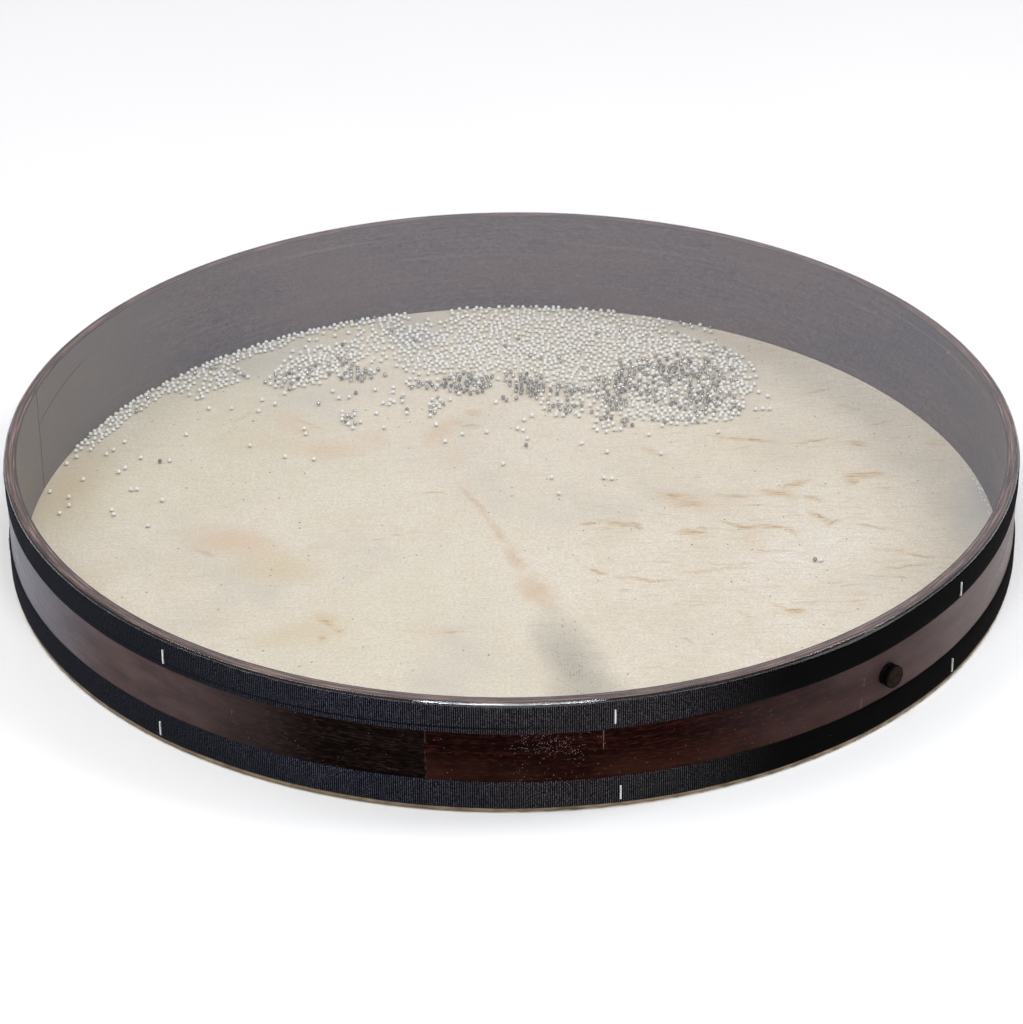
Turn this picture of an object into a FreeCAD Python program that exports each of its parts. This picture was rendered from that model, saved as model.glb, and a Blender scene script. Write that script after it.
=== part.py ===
import FreeCAD, Part
import math
import os
import random

import Sketcher

# Ocean drum (wave drum): a shallow bent-ply hoop with a clear film head above, a goatskin head below
# and loose beads sealed between them. Millimetres and degrees. The origin is the middle of the
# underside, +Z is the hoop's axis, and azimuths are counted from +X towards +Y.

DRIVING_DIMENSIONS = {
    "drum_diameter": 560.0,  # over the lower ribbon
    "hoop_depth": 63.5,
    "outer_ply_thick": 2.0,
    "core_ply_thick": 2.4,
    "inner_ply_thick": 2.0,
    "seam_gap": 0.3,  # where the ends of a bent ply meet
    "outer_seam_azimuth": 261.0,
    "core_seam_azimuth": 20.0,
    "inner_seam_azimuth": 170.0,
    "rim_round": 1.2,
    "film_thick": 0.25,
    "film_skirt": 13.4,
    "skin_thick": 0.6,
    "skin_skirt": 17.2,
    "ribbon_width": 16.0,
    "ribbon_thick": 0.4,
    "ribbon_end_gap": 0.5,
    "ribbon_end_azimuth": 98.0,
    "upper_ribbon_inset": 1.5,  # below the top of the film
    "lower_ribbon_inset": 3.1,  # above the underside
    "staple_crown": 8.2,
    "staple_leg": 4.0,
    "staple_wire_wide": 0.8,
    "staple_wire_thick": 0.6,
    "staple_bend": 0.45,
    "staple_gap": 0.05,  # round each leg, and between crown and ribbon
    "upper_staple_centre": 54.2,
    "lower_staple_centre": 9.2,
    "plug_azimuth": 313.0,
    "plug_centre": 32.4,
    "plug_shank_radius": 1.65,
    "plug_shank_length": 7.4,
    "plug_flange_radius": 6.1,
    "plug_flange_thick": 1.9,
    "plug_waist_radius": 5.0,
    "plug_waist_length": 1.5,
    "plug_head_radius": 6.25,
    "plug_head_thick": 2.2,
    "plug_edge_round": 0.6,
    "plug_gap": 0.3,
    "bead_diameter": 2.5,
    "bead_gap": 0.3,  # to the heads, the wall and the next bead
    "cut_margin": 1.0,  # how far a cut runs past the piece that it cuts
}

# Where each staple is: its azimuth, and how far it sits above its row's height.
UPPER_STAPLES = (
    (11, 0.0),
    (55, 0.2),
    (98, 0.0),
    (143, -0.3),
    (187, 0.1),
    (231, -0.1),
    (280.25, 0.0),
    (326.1, -1.2),
)
LOWER_STAPLES = (
    (10, 0.0),
    (54, 0.1),
    (98, 0.0),
    (142, -0.2),
    (186, 0.2),
    (230, 0.0),
    (280.85, 0.0),
    (325, 0.0),
)

# Each heap of beads: its node, the heap's middle and half sizes as shares of the beads' floor radius
# (x, y, along x, along y), and its number of beads.
BEAD_HEAPS = (
    ("white_beads_bank", 0.10, 0.78, 0.30, 0.15, 90),
    ("white_beads_bank", 0.30, 0.70, 0.18, 0.22, 30),
    ("white_beads_left", -0.22, 0.82, 0.14, 0.13, 44),
    ("white_beads_left", -0.42, 0.72, 0.12, 0.10, 22),
    ("grey_beads_bank", 0.36, 0.64, 0.15, 0.12, 34),
    ("grey_beads_bank", 0.24, 0.53, 0.16, 0.07, 14),
    ("grey_beads_middle", -0.08, 0.62, 0.08, 0.05, 9),
    ("grey_beads_middle", 0.06, 0.61, 0.05, 0.06, 8),
    ("grey_beads_left", -0.34, 0.67, 0.06, 0.04, 7),
    ("grey_beads_left", -0.49, 0.65, 0.08, 0.05, 7),
    ("white_beads_loose", 0.00, 0.45, 0.75, 0.20, 16),
    ("white_beads_loose", -0.82, 0.20, 0.10, 0.18, 6),
)
WALL_TRAIL_NODE = "white_beads_trail"
WALL_TRAIL_AZIMUTHS = (104.0, 166.0)
WALL_TRAIL_WIDTHS = (0.10, 0.015)  # at its two ends, as shares of the floor radius
WALL_TRAIL_BEADS = 44
BEAD_SEED = 11

# Sizes worked out from the driving dimensions, as expressions on the sheet.
OUTER_PLY_OUTER = "(Dims.drum_diameter / 2 - Dims.ribbon_thick - Dims.skin_thick)"
CORE_PLY_OUTER = f"({OUTER_PLY_OUTER} - Dims.outer_ply_thick)"
INNER_PLY_OUTER = f"({CORE_PLY_OUTER} - Dims.core_ply_thick)"
HOOP_INNER = f"({INNER_PLY_OUTER} - Dims.inner_ply_thick)"
FILM_OUTER = f"({OUTER_PLY_OUTER} + Dims.film_thick)"
SKIN_OUTER = f"({OUTER_PLY_OUTER} + Dims.skin_thick)"
HOOP_BOTTOM = "Dims.skin_thick"
HOOP_TOP = f"({HOOP_BOTTOM} + Dims.hoop_depth)"
DRUM_TOP = f"({HOOP_TOP} + Dims.film_thick)"
UPPER_RIBBON_BOTTOM = f"({DRUM_TOP} - Dims.upper_ribbon_inset - Dims.ribbon_width)"
LOWER_RIBBON_BOTTOM = "Dims.lower_ribbon_inset"

doc = FreeCAD.newDocument("OceanDrum")
sheet = doc.addObject("Spreadsheet::Sheet", "Dims")


def fill_sheet():
    """One row for each driving dimension: its name, then its value under that name as an alias."""
    for row, (name, size) in enumerate(DRIVING_DIMENSIONS.items(), start=1):
        sheet.set(f"A{row}", name)
        sheet.set(f"B{row}", str(size))
        sheet.setAlias(f"B{row}", name)
    doc.recompute()


def number(expression):
    """An expression's value as it stands on the sheet."""
    return float(sheet.evalExpression(str(expression)))


def radial_placement(radius, azimuth, height, tilt):
    """A placement at a cylinder's surface, turned by azimuth about Z after a tilt about Y."""
    turn = f"{azimuth} * 1deg"
    base = f"vector({radius} * cos({turn}); {radius} * sin({turn}); {height})"
    return f"placement({base}; rotation({turn}; {tilt}deg; 0deg))"


def new_body(name):
    body = doc.addObject("PartDesign::Body", name)
    body.Label = name
    return body


def sketch_on(body, role, name):
    """An empty sketch on one of the body's own origin planes."""
    sketch = body.newObject("Sketcher::SketchObject", name)
    plane = next(f for f in body.Origin.OriginFeatures if f.Role == role)
    sketch.AttachmentSupport = [(plane, "")]
    sketch.MapMode = "FlatFace"
    return sketch


def constrain(sketch, kind, *where, size):
    """Adds a dimension to the sketch and binds it to an expression."""
    index = sketch.addConstraint(Sketcher.Constraint(kind, *where, number(size)))
    sketch.setExpression(f"Constraints[{index}]", str(size))


def add_circle(sketch, radius):
    """A circle about the sketch's origin."""
    up = FreeCAD.Vector(0, 0, 1)
    circle = sketch.addGeometry(Part.Circle(FreeCAD.Vector(0, 0, 0), up, number(radius)))
    sketch.addConstraint(Sketcher.Constraint("Coincident", circle, 3, -1, 1))
    constrain(sketch, "Radius", circle, size=radius)


def add_outline(sketch, corners):
    """A closed outline of straight edges, each corner held by its two coordinates."""
    points = [FreeCAD.Vector(number(x), number(y), 0) for x, y in corners]
    lines = [
        sketch.addGeometry(Part.LineSegment(start, end))
        for start, end in zip(points, points[1:] + points[:1])
    ]
    for line, following in zip(lines, lines[1:] + lines[:1]):
        sketch.addConstraint(Sketcher.Constraint("Coincident", line, 2, following, 1))
    for line, (x, y) in zip(lines, corners):
        constrain(sketch, "DistanceX", -1, 1, line, 1, size=x)
        constrain(sketch, "DistanceY", -1, 1, line, 1, size=y)


def feature(body, kind, name, profile, **settings):
    """A feature made from a sketch. Text settings are expressions, the others plain values."""
    made = body.newObject(f"PartDesign::{kind}", name)
    made.Profile = profile
    for key, setting in settings.items():
        if isinstance(setting, str) and key in ("Length", "Angle"):
            made.setExpression(key, setting)
        else:
            setattr(made, key, setting)
    profile.Visibility = False
    return made


def must_change_volume(body, before, name):
    """A pocket that points away from the solid cuts nothing and shows no error."""
    doc.recompute()
    if abs(body.Shape.Volume - before) < 1e-3:
        raise RuntimeError(f"{name} cut nothing")


def circular_edges(shape, height, radius):
    """Names of the edges that lie at this height and this distance from the axis."""
    tolerance = 1e-4
    return [
        f"Edge{count}"
        for count, edge in enumerate(shape.Edges, start=1)
        if all(
            abs(v.Z - height) < tolerance
            and abs(math.hypot(v.X, v.Y) - radius) < tolerance
            for v in edge.Vertexes
        )
    ]


def round_edges(body, name, edges, radius):
    """Rounds the named edges of the body's last feature."""
    last = body.Tip
    fillet = body.newObject("PartDesign::Fillet", name)
    fillet.Base = (last, edges)
    fillet.setExpression("Radius", radius)
    doc.recompute()


def strip_ring(name, inner, outer, bottom, depth, gap, azimuth):
    """A strip bent into a ring, with the gap between its two ends at an azimuth."""
    body = new_body(name)
    profile = sketch_on(body, "XY_Plane", f"{name}_profile")
    profile.setExpression("AttachmentOffset.Base.z", bottom)
    add_circle(profile, outer)
    add_circle(profile, inner)
    feature(body, "Pad", f"{name}_pad", profile, Length=depth)
    doc.recompute()
    whole = body.Shape.Volume
    ends = sketch_on(body, "XY_Plane", f"{name}_ends")
    near, far = f"{inner} - Dims.cut_margin", f"{outer} + Dims.cut_margin"
    half = f"{gap} / 2"
    add_outline(ends, [(near, f"-{half}"), (far, f"-{half}"), (far, half), (near, half)])
    feature(body, "Pocket", f"{name}_gap", ends, Type="ThroughAll", Reversed=True)
    must_change_volume(body, whole, f"{name}_gap")
    body.setExpression("Placement.Rotation.Angle", f"{azimuth} * 1deg")
    return body


def cut_from(name, body, tools):
    """The sub-part itself: its body less the holes that are made in it."""
    cut = doc.addObject("Part::Cut", f"{name}_cut")
    cut.Base = body
    cut.Tool = tools
    body.Label = f"{name}_blank"
    cut.Label = name
    return cut


def make_plies(slots, vent):
    """Three bent plies glued face to face. Staples and the plug's vent hole go through them."""
    blanks = {}
    for name, inner, outer, azimuth in (
        ("outer_ply", CORE_PLY_OUTER, OUTER_PLY_OUTER, "Dims.outer_seam_azimuth"),
        ("core_ply", INNER_PLY_OUTER, CORE_PLY_OUTER, "Dims.core_seam_azimuth"),
        ("inner_ply", HOOP_INNER, INNER_PLY_OUTER, "Dims.inner_seam_azimuth"),
    ):
        blanks[name] = strip_ring(
            name, inner, outer, HOOP_BOTTOM, "Dims.hoop_depth", "Dims.seam_gap", azimuth
        )
    outer_blank = blanks["outer_ply"]
    edges = [
        edge
        for height in (HOOP_BOTTOM, HOOP_TOP)
        for edge in circular_edges(outer_blank.Tip.Shape, number(height), number(OUTER_PLY_OUTER))
    ]
    round_edges(outer_blank, "outer_ply_rounds", edges, "Dims.rim_round")
    tools = {
        "outer_ply": group("outer_ply_holes", slots["upper"] + slots["lower"] + [vent]),
        "core_ply": group("core_ply_holes", slots["upper"] + slots["lower"] + [vent]),
        "inner_ply": vent,
    }
    return [cut_from(name, blanks[name], tools[name]) for name in blanks]


def group(name, members):
    """Separate cutting tools as one compound."""
    compound = doc.addObject("Part::Compound", name)
    compound.Links = members
    return compound


def make_head(name, outer, thick, face, open_edge, upwards, slots):
    """A membrane over the end of the hoop, its edge turned down over the outside as a skirt."""
    body = new_body(name)
    low, high = (open_edge, face) if upwards else (face, open_edge)
    disc = sketch_on(body, "XY_Plane", f"{name}_disc")
    disc.setExpression("AttachmentOffset.Base.z", low)
    add_circle(disc, outer)
    feature(body, "Pad", f"{name}_pad", disc, Length=f"{high} - {low}")
    doc.recompute()
    whole = body.Shape.Volume
    hollow = sketch_on(body, "XY_Plane", f"{name}_hollow")
    inner_face = f"{face} - {thick}" if upwards else f"{face} + {thick}"
    hollow.setExpression("AttachmentOffset.Base.z", inner_face)
    add_circle(hollow, OUTER_PLY_OUTER)
    feature(body, "Pocket", f"{name}_pocket", hollow, Type="ThroughAll", Reversed=not upwards)
    must_change_volume(body, whole, f"{name}_pocket")
    for part, height, radius, bend in (
        ("inner", inner_face, OUTER_PLY_OUTER, "Dims.rim_round"),
        ("outer", face, outer, f"Dims.rim_round + {thick}"),
    ):
        edges = circular_edges(body.Tip.Shape, number(height), number(radius))
        round_edges(body, f"{name}_{part}_bend", edges, bend)
    return cut_from(name, body, slots)


def make_ribbon(name, inner, bottom, slots):
    """A woven ribbon wound once round the skirt, its two ends meeting at the back."""
    body = strip_ring(
        name,
        inner,
        f"{inner} + Dims.ribbon_thick",
        bottom,
        "Dims.ribbon_width",
        "Dims.ribbon_end_gap",
        "Dims.ribbon_end_azimuth",
    )
    return cut_from(name, body, slots)


def make_staple(name, radius, azimuth, height):
    """A wire staple with its crown upright: a crown, two legs with chisel tips, two rounded bends."""
    body = new_body(name)
    profile = sketch_on(body, "XZ_Plane", f"{name}_profile")
    wire, leg, half = "Dims.staple_wire_thick", "Dims.staple_leg", "Dims.staple_crown / 2"
    chisel = f"({wire} - {leg})"
    add_outline(
        profile,
        [
            (wire, f"-{half}"),
            (wire, half),
            (chisel, half),
            (f"-{leg}", f"{half} - {wire}"),
            (0, f"{half} - {wire}"),
            (0, f"{wire} - {half}"),
            (f"-{leg}", f"{wire} - {half}"),
            (chisel, f"-{half}"),
        ],
    )
    feature(body, "Pad", f"{name}_pad", profile, Length="Dims.staple_wire_wide", Midplane=True)
    doc.recompute()
    tolerance = 1e-4
    outer = number(wire)
    bends = [
        f"Edge{count}"
        for count, edge in enumerate(body.Tip.Shape.Edges, start=1)
        if all(abs(v.X - outer) < tolerance for v in edge.Vertexes)
        and abs(edge.Vertexes[0].Z - edge.Vertexes[-1].Z) < tolerance
    ]
    round_edges(body, f"{name}_bends", bends, "Dims.staple_bend")
    body.setExpression("Placement", radial_placement(radius, azimuth, height, 0))
    return body


def make_leg_slots(name, radius, azimuth, height):
    """The two slots that a staple's legs make in everything behind its crown."""
    slots = []
    for side, sign in (("top", 1), ("bottom", -1)):
        slot = doc.addObject("Part::Box", f"{name}_{side}_slot")
        gap = "Dims.staple_gap"
        slot.setExpression("Length", f"Dims.staple_leg + 2 * {gap}")
        slot.setExpression("Width", f"Dims.staple_wire_wide + 2 * {gap}")
        slot.setExpression("Height", f"Dims.staple_wire_thick + 2 * {gap}")
        middle = f"{sign} * (Dims.staple_crown / 2 - Dims.staple_wire_thick / 2)"
        low = f"{height} + {middle} - Dims.staple_wire_thick / 2 - {gap}"
        turn = f"{azimuth} * 1deg"
        along = f"({radius} - Dims.staple_leg - {gap})"
        aside = f"(Dims.staple_wire_wide / 2 + {gap})"
        x = f"{along} * cos({turn}) + {aside} * sin({turn})"
        y = f"{along} * sin({turn}) - {aside} * cos({turn})"
        base = f"vector({x}; {y}; {low})"
        slot.setExpression("Placement", f"placement({base}; rotation({turn}; 0deg; 0deg))")
        slots.append(slot)
    return slots


def make_staples():
    """Both rows of staples, and the slots that their legs need."""
    staples, slots = [], {"upper": [], "lower": []}
    for row, skirt, places in (
        ("upper", FILM_OUTER, UPPER_STAPLES),
        ("lower", SKIN_OUTER, LOWER_STAPLES),
    ):
        radius = f"({skirt} + Dims.ribbon_thick + Dims.staple_gap)"
        for count, (azimuth, rise) in enumerate(places, start=1):
            name = f"{row}_staple_{count}"
            height = f"(Dims.{row}_staple_centre + {rise})"
            staples.append(make_staple(name, radius, azimuth, height))
            slots[row] += make_leg_slots(name, radius, azimuth, height)
    return staples, slots


def make_vent():
    """The small round hole through the hoop's wall that lets air past the beads' chamber."""
    bore = doc.addObject("Part::Cylinder", "vent_bore")
    bore.setExpression("Radius", "Dims.plug_shank_radius + Dims.plug_gap")
    bore.setExpression("Height", f"{OUTER_PLY_OUTER} - {HOOP_INNER} + 2 * Dims.cut_margin")
    start = f"({HOOP_INNER} - Dims.cut_margin)"
    place = radial_placement(start, "Dims.plug_azimuth", "Dims.plug_centre", 90)
    bore.setExpression("Placement", place)
    return bore


def make_plug():
    """A turned stopper for the vent: a thin shank in the wall, a flange, a waist to grip and a head."""
    name = "vent_plug"
    body = new_body(name)
    outline = sketch_on(body, "XZ_Plane", f"{name}_outline")
    shank, flange = "Dims.plug_shank_radius", "Dims.plug_flange_radius"
    waist, head = "Dims.plug_waist_radius", "Dims.plug_head_radius"
    inner_end, flange_end = "-Dims.plug_shank_length", "Dims.plug_flange_thick"
    waist_end = f"({flange_end} + Dims.plug_waist_length)"
    outer_end = f"({waist_end} + Dims.plug_head_thick)"
    add_outline(
        outline,
        [
            (inner_end, 0),
            (outer_end, 0),
            (outer_end, head),
            (waist_end, head),
            (waist_end, waist),
            (flange_end, waist),
            (flange_end, flange),
            (0, flange),
            (0, shank),
            (inner_end, shank),
        ],
    )
    turned = feature(body, "Revolution", f"{name}_turned", outline)
    turned.ReferenceAxis = (outline, ["H_Axis"])
    turned.Angle = 360
    doc.recompute()
    tolerance = 1e-4
    rims = [(number(outer_end), number(head)), (number(flange_end), number(flange))]
    edges = [
        f"Edge{count}"
        for count, edge in enumerate(body.Tip.Shape.Edges, start=1)
        for end, wide in rims
        if all(
            abs(v.X - end) < tolerance and abs(math.hypot(v.Y, v.Z) - wide) < tolerance
            for v in edge.Vertexes
        )
    ]
    round_edges(body, f"{name}_edges", edges, "Dims.plug_edge_round")
    seat = f"({OUTER_PLY_OUTER} + Dims.plug_gap)"
    body.setExpression("Placement", radial_placement(seat, "Dims.plug_azimuth", "Dims.plug_centre", 0))
    return body


def heap_spot(chance, floor, middle_x, middle_y, half_x, half_y):
    """A random spot in an oval heap, thicker towards the heap's middle."""
    turn = chance.uniform(0, 2 * math.pi)
    reach = chance.random() ** 0.6
    x = (middle_x + half_x * reach * math.cos(turn)) * floor
    y = (middle_y + half_y * reach * math.sin(turn)) * floor
    return x, y


def trail_spot(chance, floor):
    """A random spot in the trail of beads along the wall, which thins out towards its end."""
    share = chance.random()
    first, last = WALL_TRAIL_AZIMUTHS
    wide, narrow = WALL_TRAIL_WIDTHS
    azimuth = math.radians(first + (last - first) * share)
    width = wide + (narrow - wide) * share
    radius = floor * (1 - width * chance.random() ** 2)
    return radius * math.cos(azimuth), radius * math.sin(azimuth)


def bead_spots():
    """Where each node's beads lie on the lower head: no bead touches another or the wall."""
    floor = number(f"{HOOP_INNER} - Dims.bead_gap - Dims.bead_diameter / 2")
    spacing = number("Dims.bead_diameter + Dims.bead_gap")
    chance = random.Random(BEAD_SEED)
    wanted = [(node, sizes, count) for node, *sizes, count in BEAD_HEAPS]
    wanted.append((WALL_TRAIL_NODE, None, WALL_TRAIL_BEADS))
    taken, spots = [], {}
    for node, sizes, count in wanted:
        kept = 0
        while kept < count:
            x, y = heap_spot(chance, floor, *sizes) if sizes else trail_spot(chance, floor)
            if math.hypot(x, y) > floor:
                continue
            if any(math.hypot(x - a, y - b) < spacing for a, b in taken):
                continue
            taken.append((x, y))
            spots.setdefault(node, []).append((x, y))
            kept += 1
    return spots


def make_beads():
    """Loose beads that lie on the goatskin, in one node for each heap and colour."""
    radius = number("Dims.bead_diameter / 2")
    height = number(f"{HOOP_BOTTOM} + Dims.bead_gap + Dims.bead_diameter / 2")
    nodes = []
    for name, spots in bead_spots().items():
        beads = doc.addObject("Part::Feature", name)
        beads.Label = name
        beads.Shape = Part.makeCompound(
            [Part.makeSphere(radius, FreeCAD.Vector(x, y, height)) for x, y in spots]
        )
        beads.Placement = FreeCAD.Placement()
        nodes.append(beads)
    return nodes


def check_and_write(subparts):
    """Stops on any failed object or bad shape, then writes one STEP file for each sub-part."""
    doc.recompute()
    for item in doc.Objects:
        if {"Invalid", "Error"} & set(item.State):
            raise RuntimeError(f"{item.Name} failed: {item.State}")
    for item in subparts:
        if item.Shape.isNull() or not item.Shape.isValid():
            raise RuntimeError(f"{item.Label} has no valid shape")
    os.makedirs("parts", exist_ok=True)
    for item in subparts:
        item.Shape.exportStep(f"parts/{item.Label}.step")
        print(f"{item.Label}: {len(item.Shape.Solids)} solids, {item.Shape.Volume:.1f} mm3")


fill_sheet()
staples, slots = make_staples()
upper_slots = group("upper_slots", slots["upper"])
lower_slots = group("lower_slots", slots["lower"])
subparts = make_plies(slots, make_vent())
film_edge = f"({DRUM_TOP} - Dims.film_skirt)"
subparts.append(
    make_head("clear_head", FILM_OUTER, "Dims.film_thick", DRUM_TOP, film_edge, True, upper_slots)
)
subparts.append(
    make_head("skin_head", SKIN_OUTER, "Dims.skin_thick", "0", "Dims.skin_skirt", False, lower_slots)
)
subparts.append(make_ribbon("upper_ribbon", FILM_OUTER, UPPER_RIBBON_BOTTOM, upper_slots))
subparts.append(make_ribbon("lower_ribbon", SKIN_OUTER, LOWER_RIBBON_BOTTOM, lower_slots))
subparts += staples
subparts.append(make_plug())
subparts += make_beads()
check_and_write(subparts)
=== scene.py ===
import math
import random

import bmesh
import bpy
import numpy as np
from mathutils import Matrix, Vector


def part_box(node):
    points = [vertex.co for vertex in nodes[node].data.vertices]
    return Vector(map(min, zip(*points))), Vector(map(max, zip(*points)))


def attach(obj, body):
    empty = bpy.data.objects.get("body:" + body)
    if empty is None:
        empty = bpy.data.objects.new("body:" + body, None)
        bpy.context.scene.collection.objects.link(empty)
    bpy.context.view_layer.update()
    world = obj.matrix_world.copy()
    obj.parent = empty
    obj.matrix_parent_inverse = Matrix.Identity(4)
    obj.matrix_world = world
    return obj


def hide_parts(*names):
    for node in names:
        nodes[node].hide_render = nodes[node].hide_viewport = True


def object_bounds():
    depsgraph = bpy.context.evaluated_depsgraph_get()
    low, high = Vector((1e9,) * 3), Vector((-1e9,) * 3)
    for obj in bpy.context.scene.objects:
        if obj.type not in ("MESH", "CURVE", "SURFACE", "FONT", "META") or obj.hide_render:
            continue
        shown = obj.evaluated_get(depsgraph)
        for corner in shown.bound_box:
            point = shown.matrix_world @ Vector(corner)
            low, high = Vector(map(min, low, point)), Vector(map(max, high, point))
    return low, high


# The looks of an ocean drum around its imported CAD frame. Metres; the drum's axis is +Z and its
# underside is at height 0. Azimuths are in degrees, counted from +X towards +Y, so 270 is the front.

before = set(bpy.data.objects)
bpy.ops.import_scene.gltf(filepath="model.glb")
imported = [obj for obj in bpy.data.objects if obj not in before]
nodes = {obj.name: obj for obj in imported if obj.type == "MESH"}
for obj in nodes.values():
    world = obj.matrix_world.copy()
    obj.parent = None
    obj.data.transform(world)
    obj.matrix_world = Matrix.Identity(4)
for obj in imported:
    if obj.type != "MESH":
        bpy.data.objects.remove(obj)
cad_low, cad_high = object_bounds()


def node_points(node):
    """A CAD node's vertices as an array of points."""
    mesh = nodes[node].data
    flat = np.empty(len(mesh.vertices) * 3, np.float32)
    mesh.vertices.foreach_get("co", flat)
    return flat.reshape(-1, 3).astype(float)


def radii(node):
    """The least and greatest distance of a node's vertices from the drum's axis."""
    points = node_points(node)
    reach = np.hypot(points[:, 0], points[:, 1])
    return float(reach.min()), float(reach.max())


MM = 0.001
DRUM_RADIUS = radii("lower_ribbon")[1]
WALL_INNER = radii("inner_ply")[0]
WALL_OUTER = radii("outer_ply")[1]
CORE_INNER, CORE_OUTER = radii("core_ply")
HOOP_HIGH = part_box("core_ply")[1].z
FILM_RADIUS = radii("clear_head")[1]
FILM_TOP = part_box("clear_head")[1].z
FILM_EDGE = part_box("clear_head")[0].z
SKIN_RADIUS = radii("skin_head")[1]
SKIN_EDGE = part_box("skin_head")[1].z
BEAD_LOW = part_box("white_beads_bank")[0].z
BEAD_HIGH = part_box("white_beads_bank")[1].z
BEAD_RADIUS = (BEAD_HIGH - BEAD_LOW) / 2
BEAD_MIDDLE = (BEAD_HIGH + BEAD_LOW) / 2
BEAD_REACH = WALL_INNER - BEAD_RADIUS - 0.1 * MM
OUTER_SEAM_AZIMUTH = 261.0
NICK_AZIMUTH = 279.1
SCRAPE_AZIMUTH = 309.5
DUST_AZIMUTH = 274.5
INNER_SEAM_AZIMUTH = 170.0
RIBBON_JOIN_AZIMUTH = 98.0
RIB_PITCH = 1.1 * MM
RIBS = round(2 * math.pi * DRUM_RADIUS / RIB_PITCH)
SOFTBOX_DISTANCE = 2.3
SKYLIGHT = (0.93, 0.965, 1.0)
COLD = (0.8, 0.9, 1.0)
# Where each ribbon hangs low: azimuth, half width in degrees, and how far.
UPPER_DIPS = ((272, 8, 0.8 * MM), (308, 7, 1.0 * MM))
LOWER_DIPS = ((275, 30, 0.4 * MM),)


# ---------------------------------------------------------------- camera and light


def make_camera():
    """A long lens that looks down on the drum from the front."""
    lens, sensor = 126.09, 36.0
    distance, elevation, roll = 7.2113 * DRUM_RADIUS, math.radians(30.402), math.radians(-0.438)
    camera = bpy.data.objects.new("camera", bpy.data.cameras.new("camera"))
    bpy.context.scene.collection.objects.link(camera)
    camera.data.lens = lens
    camera.data.sensor_width = sensor
    camera.data.shift_x = -0.0006
    camera.data.shift_y = 0.0157
    camera.data.clip_start = 0.05
    camera.data.clip_end = 200
    back = Vector((0, -math.cos(elevation), math.sin(elevation)))
    turn = (-back).to_track_quat("-Z", "Y").to_matrix().to_4x4()
    camera.matrix_world = Matrix.Translation(back * distance) @ turn @ Matrix.Rotation(roll, 4, "Z")
    bpy.context.scene.camera = camera


def make_softbox(name, azimuth, elevation, size, power, colour=(1, 1, 1), gloss_only=False):
    """A rectangular lamp that faces the drum. gloss_only leaves matt surfaces as they are."""
    lamp = bpy.data.lights.new(name, "AREA")
    lamp.shape = "RECTANGLE"
    lamp.size, lamp.size_y = size
    lamp.energy = power
    lamp.color = colour
    softbox = bpy.data.objects.new(name, lamp)
    bpy.context.scene.collection.objects.link(softbox)
    a, e = math.radians(azimuth), math.radians(elevation)
    away = Vector((math.cos(a) * math.cos(e), math.sin(a) * math.cos(e), math.sin(e)))
    softbox.location = away * SOFTBOX_DISTANCE
    softbox.rotation_mode = "QUATERNION"
    softbox.rotation_quaternion = (-away).to_track_quat("-Z", "Y")
    softbox.visible_camera = False
    softbox.visible_diffuse = not gloss_only


# ---------------------------------------------------------------- node graphs


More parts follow.
